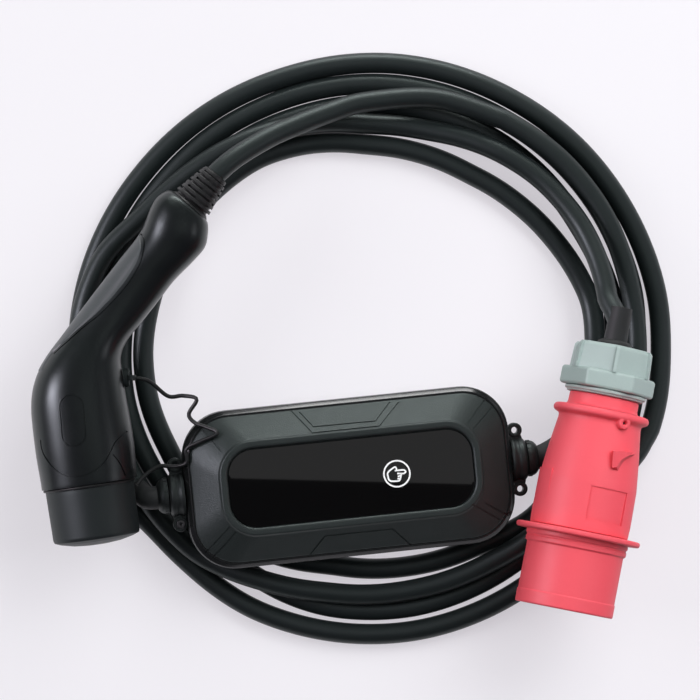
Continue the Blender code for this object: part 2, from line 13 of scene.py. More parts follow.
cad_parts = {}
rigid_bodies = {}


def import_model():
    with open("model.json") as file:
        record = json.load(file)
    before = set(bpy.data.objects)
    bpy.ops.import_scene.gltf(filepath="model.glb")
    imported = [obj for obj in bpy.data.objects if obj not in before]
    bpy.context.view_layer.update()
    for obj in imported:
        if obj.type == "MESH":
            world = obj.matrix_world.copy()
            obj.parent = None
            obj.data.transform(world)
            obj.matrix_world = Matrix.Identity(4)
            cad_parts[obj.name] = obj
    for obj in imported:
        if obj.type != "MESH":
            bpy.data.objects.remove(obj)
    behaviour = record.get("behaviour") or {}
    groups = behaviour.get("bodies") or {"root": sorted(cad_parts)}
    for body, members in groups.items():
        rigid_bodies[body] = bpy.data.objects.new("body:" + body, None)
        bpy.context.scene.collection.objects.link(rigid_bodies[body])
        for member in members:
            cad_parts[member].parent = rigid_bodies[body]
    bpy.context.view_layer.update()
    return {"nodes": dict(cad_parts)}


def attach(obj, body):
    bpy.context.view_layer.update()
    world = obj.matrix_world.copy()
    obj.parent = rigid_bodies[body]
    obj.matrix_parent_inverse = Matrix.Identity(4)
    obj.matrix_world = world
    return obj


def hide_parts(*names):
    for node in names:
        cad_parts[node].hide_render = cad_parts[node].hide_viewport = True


for old in list(bpy.data.objects):
    bpy.data.objects.remove(old)
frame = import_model()
scene = bpy.context.scene
scene.view_settings.view_transform = "Standard"

MM = 0.001
GAP = 0.3


def turn(x, y, z):
    """A rotation from degrees about X, Y and Z."""
    return Euler([math.radians(a) for a in (x, y, z)]).to_matrix().to_4x4()


# Frames, as in the part's source: the coil's middle, the box, the connector and the plug
COIL = Vector((45.9, 7.9, 0.0))
LAYOUT = Matrix.Translation(COIL)
BOX = LAYOUT @ Matrix.Translation((-13.6, -73.9, 8.4)) @ turn(0.4, 5.3, 5.8)
GRIP = LAYOUT @ Matrix.Translation((-106.4, 0, 53))
NOZZLE = GRIP @ Matrix.Translation((-54.1, -79.2, 0)) @ turn(0, 90, -81.8)
BOOT = GRIP @ Matrix.Translation((5.0, 84.9, -1)) @ turn(0, 90, 50)
PLUG = LAYOUT @ Matrix.Translation((112, -149.1, 60)) @ turn(0, 93, 78.9)

# Control box, in its own frame, as in the part's source
BOX_HALF = (95.5, 46.0)
BOX_CORNER = 27.0
PANEL_HALF = (71.0, 22.5)
PANEL_CORNER = 15.0
GLAND_HEIGHT = 20
GLAND_REACH = 15.7  # collar and nut together

# Camera: straight down on the layout
EYE = Vector((COIL.x - 10.6, COIL.y, 2500.0))
PIXEL = 0.5883  # millimetres of floor under one pixel of the frame
camera = bpy.data.objects.new("camera", bpy.data.cameras.new("camera"))
scene.collection.objects.link(camera)
camera.location = EYE * MM
camera.data.sensor_width = 36.0
camera.data.lens = 36.0 * EYE.z / (700 * PIXEL)
scene.camera = camera


def seen(px, py):
    """The point of the floor under a pixel of the 700 pixel frame."""
    return Vector((EYE.x + (px - 350) * PIXEL, EYE.y + (350 - py) * PIXEL, 0.0))


# Materials
LOOKS = {
    # name: colour, second colour, roughness, roughness spread, grain per metre, grain depth in mm
    "cable_rubber": ((0.006, 0.0085, 0.0088), (0.010, 0.013, 0.0135), 0.44, 0.10, 900, 0.030),
    "tether_rubber": ((0.005, 0.006, 0.006), (0.009, 0.010, 0.010), 0.46, 0.10, 1500, 0.020),
    "boot_rubber": ((0.004, 0.0045, 0.005), (0.007, 0.008, 0.008), 0.45, 0.08, 1200, 0.020),
    "cover_plastic": ((0.010, 0.013, 0.013), (0.018, 0.022, 0.022), 0.46, 0.08, 1600, 0.130),
    "edge_plastic": ((0.008, 0.009, 0.009), (0.012, 0.013, 0.014), 0.18, 0.06, 1400, 0.008),
    "base_plastic": ((0.007, 0.008, 0.0085), (0.012, 0.014, 0.014), 0.50, 0.08, 1100, 0.050),
    "panel_glass": ((0.002, 0.002, 0.0022), (0.003, 0.003, 0.003), 0.014, 0.006, 60, 0.0005),
    "icon_white": ((0.86, 0.87, 0.88), (0.92, 0.93, 0.94), 0.45, 0.05, 2000, 0.004),
    "grip_plastic": ((0.0024, 0.003, 0.0034), (0.0042, 0.0048, 0.0054), 0.33, 0.08, 1300, 0.016),
    "inlay_plastic": ((0.050, 0.056, 0.060), (0.066, 0.074, 0.079), 0.42, 0.08, 1300, 0.022),
    "cap_rubber": ((0.0055, 0.007, 0.0075), (0.009, 0.011, 0.0118), 0.50, 0.08, 1100, 0.030),
    "plug_plastic": ((0.83, 0.084, 0.112), (0.87, 0.098, 0.132), 0.52, 0.08, 700, 0.020),
    "nut_plastic": ((0.32, 0.405, 0.39), (0.37, 0.455, 0.44), 0.50, 0.08, 900, 0.025),
    "seal_plastic": ((0.33, 0.385, 0.375), (0.38, 0.43, 0.42), 0.50, 0.06, 1200, 0.015),
    "dark_rubber": ((0.010, 0.011, 0.012), (0.016, 0.018, 0.018), 0.62, 0.08, 1500, 0.020),
    "carrier_plastic": ((0.14, 0.145, 0.15), (0.18, 0.185, 0.19), 0.5, 0.08, 1300, 0.020),
    "board_lacquer": ((0.02, 0.12, 0.05), (0.03, 0.17, 0.07), 0.42, 0.12, 600, 0.020),
    "relay_plastic": ((0.03, 0.07, 0.2), (0.04, 0.09, 0.25), 0.42, 0.08, 900, 0.015),
    "part_plastic": ((0.2, 0.2, 0.19), (0.28, 0.28, 0.27), 0.5, 0.1, 700, 0.03),
    "pin_metal": ((0.70, 0.64, 0.50), (0.80, 0.74, 0.60), 0.26, 0.12, 500, 0.006),
    "screw_metal": ((0.10, 0.10, 0.105), (0.15, 0.15, 0.155), 0.32, 0.10, 700, 0.006),
}
METALS = ("pin_metal", "screw_metal")
GREEN_GLOSS = ("cover_plastic", "cable_rubber", "grip_plastic", "cap_rubber", "base_plastic")
FINE_SHARE = 0.45  # of the grain in the mottled colour
CLOUD_SHARE = 0.6


def add_node(tree, kind, **values):
    """A node with some of its properties and inputs set by name."""
    node = tree.nodes.new(kind)
    for key, value in values.items():
        if hasattr(node, key):
            setattr(node, key, value)
        else:
            node.inputs[key.replace("_", " ").title()].default_value = value
    return node


def look(name):
    """A moulded surface: mottled colour, uneven gloss and a fine grain, made once for each name.
    Its own title keeps it apart from the frame's materials, some of which have these names."""
    title = name + "_look"
    if title in bpy.data.materials:
        return bpy.data.materials[title]
    first, second, rough, spread, grain, depth = LOOKS[name]
    made = bpy.data.materials.new(title)
    made.use_nodes = True
    tree = made.node_tree
    link = tree.links.new
    shader = tree.nodes["Principled BSDF"]
    place = add_node(tree, "ShaderNodeTexCoord").outputs["Object"]
    cloud = add_node(tree, "ShaderNodeTexNoise", scale=70.0, detail=6.0)
    fine = add_node(tree, "ShaderNodeTexNoise", scale=grain, detail=3.0)
    smear = add_node(tree, "ShaderNodeTexNoise", scale=180.0, detail=4.0)
    for node in (cloud, fine, smear):
        link(place, node.inputs["Vector"])
    blend = add_node(tree, "ShaderNodeMix", data_type="RGBA")
    blend.inputs[6].default_value = (*first, 1)
    blend.inputs[7].default_value = (*second, 1)
    both = add_node(tree, "ShaderNodeMath", operation="MULTIPLY_ADD")
    both.inputs[1].default_value = FINE_SHARE
    link(fine.outputs["Fac"], both.inputs[0])
    half = add_node(tree, "ShaderNodeMath", operation="MULTIPLY")
    half.inputs[1].default_value = CLOUD_SHARE
    link(cloud.outputs["Fac"], half.inputs[0])
    link(half.outputs[0], both.inputs[2])
    link(both.outputs[0], blend.inputs[0])
    link(blend.outputs[2], shader.inputs["Base Color"])
    gloss = add_node(tree, "ShaderNodeMapRange")
    gloss.inputs["To Min"].default_value = rough - spread / 2
    gloss.inputs["To Max"].default_value = rough + spread / 2
    link(smear.outputs["Fac"], gloss.inputs["Value"])
    link(gloss.outputs["Result"], shader.inputs["Roughness"])
    bump = add_node(tree, "ShaderNodeBump")
    bump.inputs["Strength"].default_value = 1.0
    bump.inputs["Distance"].default_value = depth * MM
    link(fine.outputs["Fac"], bump.inputs["Height"])
    link(bump.outputs["Normal"], shader.inputs["Normal"])
    shader.inputs["Metallic"].default_value = 1.0 if name in METALS else 0.0
    if name == "plug_plastic":
        shader.inputs["Specular IOR Level"].default_value = 0.35
    if name in GREEN_GLOSS:
        shader.inputs["Specular Tint"].default_value = (0.86, 1.0, 0.97, 1)
    return made


# Mesh building
def curve_through(points, spacing):
    """Points a set distance apart on a smooth curve through the given ones."""
    points = [Vector(p) for p in points]
    padded = [2 * points[0] - points[1], *points, 2 * points[-1] - points[-2]]
    dense = []
    for i in range(1, len(padded) - 2):
        p0, p1, p2, p3 = padded[i - 1:i + 3]
        for k in range(24):
            t = k / 24
            bend = (2 * p1 + (p2 - p0) * t + (2 * p0 - 5 * p1 + 4 * p2 - p3) * t ** 2
                    + (3 * p1 - p0 - 3 * p2 + p3) * t ** 3)
            dense.append(bend / 2)
    dense.append(points[-1])
    dense = np.array(dense)
    run = np.concatenate([[0.0], np.cumsum(np.linalg.norm(np.diff(dense, axis=0), axis=1))])
    wanted = np.linspace(0.0, run[-1], max(2, round(run[-1] / spacing)) + 1)
    return [Vector(p) for p in np.stack([np.interp(wanted, run, dense[:, i]) for i in range(3)], axis=1)]


def rounded(points, reach, steps=3):
    """A polyline with each inner corner replaced by a short bend."""
    points = [Vector(p) for p in points]
    made = [points[0]]
    for before, corner, after in zip(points, points[1:], points[2:]):
        a = corner + (before - corner) * min(0.5, reach / max((before - corner).length, 1e-6))
        b = corner + (after - corner) * min(0.5, reach / max((after - corner).length, 1e-6))
        for i in range(steps + 1):
            t = i / steps
            made.append(a * (1 - t) ** 2 + corner * 2 * t * (1 - t) + b * t ** 2)
    made.append(points[-1])
    return made


def soften(rings, reach, steps=3):
    """Rings with the corners between them rounded, column by column."""
    columns = [rounded(column, reach, steps) for column in zip(*rings)]
    return [list(ring) for ring in zip(*columns)]


def loft(rings, loop=False, caps=True):
    """A skin through rings of points; with loop it closes on itself."""
    built = bmesh.new()
    rows = [[built.verts.new(point) for point in ring] for ring in rings]
    pairs = list(zip(rows, rows[1:]))
    if loop:
        pairs.append((rows[-1], rows[0]))
    elif caps:
        built.faces.new(rows[0])
        built.faces.new(rows[-1])
    for first, second in pairs:
        for i in range(len(first)):
            j = (i + 1) % len(first)
            built.faces.new((first[i], first[j], second[j], second[i]))
    return built


def lathe(profile, sides=72, reach=0.0, loop=False):
    """A solid of revolution about Z through (radius, height) pairs."""
    if reach:
        profile = [(p.x, p.y) for p in rounded([(r, h, 0) for r, h in profile], reach)]
    rings = []
    for radius, height in profile:
        rings.append([(radius * math.cos(math.tau * i / sides), radius * math.sin(math.tau * i / sides),
                       height) for i in range(sides)])
    return loft(rings, loop=loop)


def sector(low, high, start, stop, bottom, top, steps=24):
    """A block bent round Z between two radii, two angles in degrees and two heights."""
    rings = []
    for i in range(steps + 1):
        a = math.radians(start + (stop - start) * i / steps)
        c, s = math.cos(a), math.sin(a)
        rings.append([(low * c, low * s, bottom), (high * c, high * s, bottom), (high * c, high * s, top),
                      (low * c, low * s, top)])
    return loft(rings)


def join(*parts):
    """One bmesh from several (bmesh, matrix) pairs."""
    whole = bmesh.new()
    for built, place in parts:
        mesh = bpy.data.meshes.new("scratch")
        bmesh.ops.recalc_face_normals(built, faces=built.faces)
        built.to_mesh(mesh)
        built.free()
        mesh.transform(place)
        whole.from_mesh(mesh)
        bpy.data.meshes.remove(mesh)
    return whole


def solid(name, built, place=Matrix.Identity(4)):
    """An object from a bmesh in millimetres."""
    bmesh.ops.recalc_face_normals(built, faces=built.faces)
    mesh = bpy.data.meshes.new(name)
    built.to_mesh(mesh)
    built.free()
    mesh.transform(Matrix.Scale(MM, 4) @ place)
    made = bpy.data.objects.new(name, mesh)
    scene.collection.objects.link(made)
    return made


def finish_mesh(made, sharp=32):
    """Smooth shading in which the large flat faces stay flat."""
    made.data.shade_smooth()
    made.data.set_sharp_from_angle(angle=math.radians(sharp))
    step = made.modifiers.new("normals", "WEIGHTED_NORMAL")
    step.keep_sharp = True
    step.weight = 100


def cut(made, cutter):
    """Takes the cutter out of the object, and removes it."""
    step = made.modifiers.new("cut", "BOOLEAN")
    step.operation = "DIFFERENCE"
    step.solver = "EXACT"
    step.use_self = True
    step.object = cutter
    bpy.context.view_layer.update()
    result = bpy.data.meshes.new_from_object(made.evaluated_get(bpy.context.evaluated_depsgraph_get()))
    made.modifiers.remove(step)
    made.data = result
    bpy.data.objects.remove(cutter)


def piece(made, material, replaces=(), sharp=32):
    """Finishes an object: shading, look, body and the CAD nodes that it stands for."""
    finish_mesh(made, sharp)
    if not made.data.materials:
        made.data.materials.append(look(material))
    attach(made, "root")
    if replaces:
        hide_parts(*replaces)
    return made


def surface(made):
    """A tree for asking where a line of sight meets the object."""
    mesh = made.data
    return BVHTree.FromPolygons([v.co / MM for v in mesh.vertices], [p.vertices for p in mesh.polygons])


def groove(tree, points, width, depth, closed=False):
    """A square-edged channel cutter laid along a surface, under the points that the camera sees."""
    proud = 1.2  # how far the cutter stands out of the surface
    route = [Vector(p) for p in points]
    if closed:
        route.append(route[0])
    dense = []
    for a, b in zip(route, route[1:]):
        count = max(1, round((b - a).length / 2.5))
        dense += [a.lerp(b, i / count) for i in range(count)]
    dense.append(route[-1])
    hits = []
    for point in dense:
        place, normal, _, _ = tree.ray_cast(EYE, (point - EYE).normalized())
        if place is not None:
            hits.append((place, normal if normal.z > 0 else -normal))
    if closed:
        hits.pop()
    rings = []
    for i, (place, normal) in enumerate(hits):
        before = hits[i - 1][0] if i or closed else place
        after = hits[(i + 1) % len(hits)][0] if i + 1 < len(hits) or closed else place
        side = (after - before).normalized().cross(normal) * width / 2
        up, down = normal * proud, normal * depth
        rings.append([place - side + up, place + side + up, place + side - down, place - side - down])
    return loft(rings, loop=closed)


# Cords
CABLE = 12.2
TOUCH = 12.25  # between the middles of two strands that lie against each other
FLOOR = CABLE / 2 + 0.1
STEP = 2  # degrees between the samples of a lap

# The vehicle cable's laps: angle about the coil's middle and radius in pixels of the frame
LAP_PIXEL = 0.5868  # millimetres under one pixel at the height of a strand on the floor
TOP_PIXEL = 0.5839  # and at the height of a strand that lies on others
LAPS = (
    (-17, 223), (-10, 224), (-5, 225), (0, 225.7), (5, 227), (12, 228), (30, 216.5), (45, 208.8), (60, 203),
    (75, 203.5), (90, 205), (107, 215), (120, 221), (134, 221.7), (150, 223), (166, 222.5), (180, 225),
    (193, 225), (207, 222.5), (230, 228), (245, 225), (260, 217.5), (280, 219.8), (300, 224), (315, 236),
    (325, 233), (335, 229.5), (345, 230), (350, 235), (360, 246), (372, 249.5), (390, 244.5), (405, 245.5),
    (420, 246), (450, 245.5), (467, 243.6), (480, 243.7), (494, 243.9), (510, 244.7), (526, 245),
    (540, 246.5), (552, 248), (573, 246), (590, 249), (605, 253), (610, 256), (620, 259.5), (640, 260.5),
    (660, 258.5), (675, 257), (685, 254.5), (695, 251), (700, 249.5), (705, 252), (710, 257), (720, 267),
    (732, 271), (750, 270.5), (765, 269.5), (780, 267.5), (806, 266.5), (834, 264.3), (846, 264.9),
    (859, 264.6), (870, 265.5), (886, 267), (900, 268), (916, 269), (933, 267), (950, 266), (965, 253.5),
    (980, 246), (1000, 244.2), (1020, 245), (1035, 250), (1045, 262), (1050, 270), (1055, 281), (1060, 290),
    (1065, 292), (1070, 293), (1080, 292.5), (1090, 294), (1110, 292), (1125, 291), (1140, 289),
    (1166, 287.5), (1187, 285), (1200, 285.5), (1221, 286), (1235, 287.5), (1246, 289), (1260, 290),
    (1272, 290.5), (1285, 288.5), (1293, 283), (1300, 277.5), (1310, 278), (1325, 283), (1360, 284.5),
    (1395, 283), (1405, 277), (1415, 272.5), (1425, 270), (1440, 268.5), (1452, 269), (1470, 272),
    (1485, 271), (1500, 267),
)
ON_TOP = ((-17, 0), (915, 1062), (1424, 1500))  # where a lap lies on others
INSIDE = 6.0  # from a gland nut's mouth to a cable's end in it
VEHICLE_START = ((111.4, -55.6, 18.9), (119.0, -47.2, 18.8))
VEHICLE_DROP = ((-16, 18.2), (-10, 16.5), (-5, 14.3), (0, 8.8))  # angle and least height, down to the floor
VEHICLE_RISE = ((75, 152.0, 20.4), (90, 144.6, 25.4), (99, 140.0, 30.4), (111.2, 136.3, 39.0),
                (117.6, 135.4, 44.2), (124.8, 134.9, 49.2))  # angle, radius and height, up to the boot
# The supply cable: angle and radius in millimetres, its start, and angle and least height up to the plug
SUPPLY_LAP = ((190, 171.0), (180, 170.0), (170, 168.0), (160, 164.0), (150, 153.0), (135, 146.4), (120, 141.6),
              (105, 137.0), (90, 132.2), (75, 133.0), (60, 137.8), (45, 141.9), (30, 143.6), (20, 143.0),
              (12, 141.6))
SUPPLY_START = ((-134.4, -81.1, 26.4), (-143.6, -77.0, 21.2), (-153.4, -68.2, 19.0), (-161.4, -55.0, 18.8))
SUPPLY_RISE = ((12, 43.0), (20, 34.5), (30, 26.0), (45, 19.6), (60, 18.0))
TETHER = ((-136.4, -16.0, 53.0), (-131.6, -16.4, 52.6), (-125.5, -18.5, 51.0), (-115.7, -26.6, 47.0),
          (-107.0, -26.4, 47.0), (-99.0, -28.4, 50.0), (-103.6, -37.0, 48.0), (-100.0, -42.0, 49.0),
          (-93.2, -44.5, 51.5), (-87.0, -48.0, 54.5), (-97.8, -53.1, 53.2), (-105.0, -57.2, 51.3),
          (-104.6, -64.6, 50.2), (-111.0, -67.2, 48.0), (-120.0, -67.0, 46.5), (-126.6, -70.4, 47.4),
          (-131.4, -74.8, 49.4), (-133.6, -77.6, 50.6))


def polar(radius, degrees, height):
    """A point of the layout from its radius and angle about the coil's middle."""
    a = math.radians(degrees)
    return Vector((radius * math.cos(a), radius * math.sin(a), height))


def eased(values, weights=(1, 2, 3, 2, 1)):
    """Values averaged with their neighbours, ends kept."""
    reach = len(weights) // 2
    padded = np.concatenate([np.full(reach, values[0]), values, np.full(reach, values[-1])])
    made = np.convolve(padded, np.array(weights) / sum(weights), "valid")
    made[0], made[-1] = values[0], values[-1]
    return made


def settled(angles, radii, lower_angles, lower_radii, lower_heights):
    """The height of each strand sample that comes to rest on the lower ones, or on the floor."""
    heights = np.full(len(angles), FLOOR)
    for i, (a, r) in enumerate(zip(angles, radii)):
        turned = (lower_angles - a) % 360
        near = np.minimum(turned, 360 - turned) < STEP * 0.75
        for lr, lh in zip(lower_radii[near], lower_heights[near]):
            apart = abs(lr - r)
            if apart < TOUCH:
                heights[i] = max(heights[i], lh + math.sqrt(TOUCH ** 2 - apart ** 2))
    return heights


def ramped(heights, climb=0.9):
    """Heights with no step steeper than the climb between two samples, never lower than given."""
    made = heights.copy()
    for i in range(1, len(made)):
        made[i] = max(made[i], made[i - 1] - climb)
    for i in range(len(made) - 2, -1, -1):
        made[i] = max(made[i], made[i + 1] - climb)
    return eased(eased(made))


def cable(name, points, diameter, material, spacing):
    """A round cord along a smooth line through points in the layout's millimetres, and where it starts."""
    curve = bpy.data.curves.new(name, "CURVE")
    curve.dimensions = "3D"
    curve.bevel_depth = diameter / 2 * MM
    curve.bevel_resolution = 6
    curve.use_fill_caps = True
    line = curve.splines.new("POLY")
    route = curve_through(points, spacing)
    line.points.add(len(route) - 1)
    for spot, place in zip(line.points, route):
        spot.co = (*((place + COIL) * MM), 1.0)
    made = bpy.data.objects.new(name, curve)
    scene.collection.objects.link(made)
    curve.materials.append(look(material))
    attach(made, "root")
    return made, (route[0] + COIL) * MM


def in_layout(matrix, x, y, z):
    """A piece's own point, in the layout's millimetres."""
    return matrix @ Vector((x, y, z)) - COIL


angles = np.arange(-16, 1501, STEP)
knots = np.array(LAPS)
radii = eased(np.interp(angles, knots[:, 0], knots[:, 1] * LAP_PIXEL))
top = np.zeros(len(angles), bool)
for start, stop in ON_TOP:
    top |= (angles >= start) & (angles <= stop)
radii[top] *= TOP_PIXEL / LAP_PIXEL
heights = np.full(len(angles), FLOOR)
heights[top] = settled(angles[top], radii[top], angles[~top], radii[~top], heights[~top])
drop = angles <= 0
heights[drop] = np.maximum(heights[drop], np.interp(angles[drop], *zip(*VEHICLE_DROP)))
heights = ramped(heights)
reach = BOX_HALF[0] + GLAND_REACH + 2 * GAP
lean = BOX.to_3x3() @ Vector((1, 0, 0))
right_exit = in_layout(BOX, reach - INSIDE, 0, GLAND_HEIGHT)
left_exit = in_layout(BOX, INSIDE - reach, 0, GLAND_HEIGHT)
vehicle = [right_exit, right_exit + 7 * lean, *[Vector(p) for p in VEHICLE_START]]
vehicle += [polar(r, a, h) for a, r, h in zip(angles, radii, heights)]
vehicle += [polar(r, a, h) for a, r, h in VEHICLE_RISE]
vehicle += [in_layout(BOOT, 0, 0, 22), in_layout(BOOT, 0, 0, 10)]

supply_angles = np.arange(190, 11, -STEP)
knots = np.array(SUPPLY_LAP)[::-1]
supply_radii = eased(np.interp(supply_angles, knots[:, 0], knots[:, 1]))
supply_heights = settled(supply_angles, supply_radii, angles, radii, heights)
rise = supply_angles <= SUPPLY_RISE[-1][0]
supply_heights[rise] = np.maximum(supply_heights[rise], np.interp(supply_angles[rise], *zip(*SUPPLY_RISE)))
supply_heights = ramped(supply_heights, 2.2)
supply = [left_exit, left_exit - 11.3 * lean, *[Vector(p) for p in SUPPLY_START]]
supply += [polar(r, a, h) for a, r, h in zip(supply_angles, supply_radii, supply_heights)]
supply += [in_layout(PLUG, 0, 0, 166), in_layout(PLUG, 0, 0, 138)]

vehicle_cable, vehicle_exit = cable("vehicle_cable", vehicle, CABLE, "cable_rubber", 4.0)
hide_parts("cable_coil", "vehicle_cable_start", "vehicle_cable_end")
supply_cable, supply_exit = cable("supply_lead", supply, CABLE, "cable_rubber", 4.0)
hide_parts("supply_cable")
tether, tether_exit = cable("tether_cord", TETHER, 2.4, "tether_rubber", 1.5)
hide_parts("cap_tether")


# Control box
def outline(half_length, half_width, corner, height, steps=14):
    """A rounded rectangle at one height, with the same number of points whatever its size."""
    points = []
    for quarter in range(4):
        sx = (1, -1, -1, 1)[quarter]
        sy = (1, 1, -1, -1)[quarter]
        for i in range(steps + 1):
            a = math.radians(90 * quarter + 90 * i / steps)
            points.append(Vector((sx * (half_length - corner) + corner * math.cos(a),
                                  sy * (half_width - corner) + corner * math.sin(a), height)))
    return points


def box_ring(inset, height):
    return outline(BOX_HALF[0] - inset, BOX_HALF[1] - inset, BOX_CORNER - 0.7 * inset, height)


def panel_ring(outset, height):
    return outline(PANEL_HALF[0] + outset, PANEL_HALF[1] + outset, PANEL_CORNER + outset, height)


def box_shells():
    """The lower shell, and the cover with its polished edge and its moulded lines."""
    base = soften([box_ring(9, 0), box_ring(4.6, 4.5), box_ring(1.8, 11), box_ring(0.4, 17), box_ring(0, 21.5),
                   box_ring(1.2, 21.5)], 0.9)
    base += [box_ring(2.6, 21.5), box_ring(4.6, 11), box_ring(8, 6), box_ring(12, 3)]
    piece(solid("base_shell", loft(base), BOX), "base_plastic", ("box_base",))
    cover = soften([box_ring(2.6, 22.5), box_ring(0, 22.5), box_ring(0.3, 28.8), box_ring(3.0, 31.5),
                    box_ring(3.3, 30.9), box_ring(3.8, 31.4), box_ring(3.95, 32.1), panel_ring(5.4, 43.3),
                    panel_ring(4.6, 44.9), panel_ring(1.4, 44.9), panel_ring(0.35, 44.0),
                    panel_ring(0.35, 42.4)], 0.8)
    cover = [box_ring(24, 39), box_ring(5, 29.5), *cover]
    edge = (28.2, 31.6)  # heights between which the cover is polished
    made = solid("cover_shell", loft(cover), BOX)
    tree = surface(made)
    lines = (  # in pixels of the frame: the corners' mitres, then the trapezia on the long sides
        ((203, 430), (209, 437), (222, 452)),
        ((468, 423), (477, 410), (486, 398)), ((473, 429), (483, 417), (493, 406)),
        ((205, 553), (217, 541), (230, 527)), ((212, 558), (224, 546), (236, 532)),
        ((472, 504), (486, 512), (500, 520)), ((485, 503), (497, 510), (508, 515)),
        ((291, 411), (312, 433), (380, 426), (399, 402)), ((299, 412), (313, 427), (376, 421), (390, 402)),
        ((308, 557), (325, 536), (393, 529), (411, 545)),
    )
    cutters = []
    for line in lines:
        points = [seen(*p) for p in line]
        cutters.append((groove(tree, points, 0.9, 0.5), Matrix.Identity(4)))
    cut(made, solid("cover_lines", join(*cutters)))
    made.data.materials.append(look("cover_plastic"))
    made.data.materials.append(look("edge_plastic"))
    inverse = BOX.inverted()
    for face in made.data.polygons:
        height = (inverse @ (face.center / MM)).z
        if edge[0] < height < edge[1]:
            face.material_index = 1
    piece(made, None, ("box_cover",))


def touch_panel():
    """The glass, and on it a pointing hand in a ring, both drawn in pixels of the frame."""
    top = 44.1
    rings = soften([panel_ring(0, 42.7), panel_ring(0, top), panel_ring(-1.6, top)], 0.6)
    made = solid("panel_glass", loft(rings), BOX)
    piece(made, "panel_glass", ("touch_panel",))
    tree = surface(made)
    line_width = 1.0
    hand = (((394.6, 470.7), (396.2, 470.2), (396.4, 468.6), (394.5, 467.2), (388.0, 472.4), (388.2, 477.0),
             (389.0, 479.8), (391.6, 481.2), (398.4, 480.9), (400.0, 479.6), (400.8, 476.9), (401.2, 474.5),
             (400.6, 473.3)),
            ((394.8, 470.8), (397.5, 470.4), (403.2, 469.9), (405.0, 470.6), (405.6, 471.8), (404.6, 473.0),
             (403.0, 473.5), (397.2, 473.5)),
            ((400.6, 475.4), (397.8, 476.6)), ((400.2, 478.6), (397.4, 478.7)))
    mark_x, mark_y, mark_radius = 396.9, 473.7, 13.0
    circle = [(mark_x + mark_radius * math.cos(math.tau * i / 64),
               mark_y + mark_radius * math.sin(math.tau * i / 64)) for i in range(64)]
    parts = []
    for k, shape in enumerate((circle, *hand)):
        points = [Vector((*p, 0)) for p in shape]
        if k:
            points = curve_through(points, 0.6)
        points = [seen(p.x, p.y) for p in points]
        if not k:
            points.append(points[0])
        hits = []
        for point in points:
            place, _, _, _ = tree.ray_cast(EYE, (point - EYE).normalized())
            hits.append(place)
        up = BOX.to_3x3() @ Vector((0, 0, 1))
        rings = []
        for i, place in enumerate(hits):
            before = hits[i - 1] if i else (hits[-2] if not k else place)
            after = hits[i + 1] if i + 1 < len(hits) else (hits[1] if not k else place)
            side = (after - before).normalized().cross(up) * line_width / 2
            rings.append([place - side - up * 0.05, place + side - up * 0.05,
                          place + side * 0.9 + up * 0.06, place - side * 0.9 + up * 0.06])
        parts.append((loft(rings), Matrix.Identity(4)))
    piece(solid("touch_mark", join(*parts)), "icon_white")


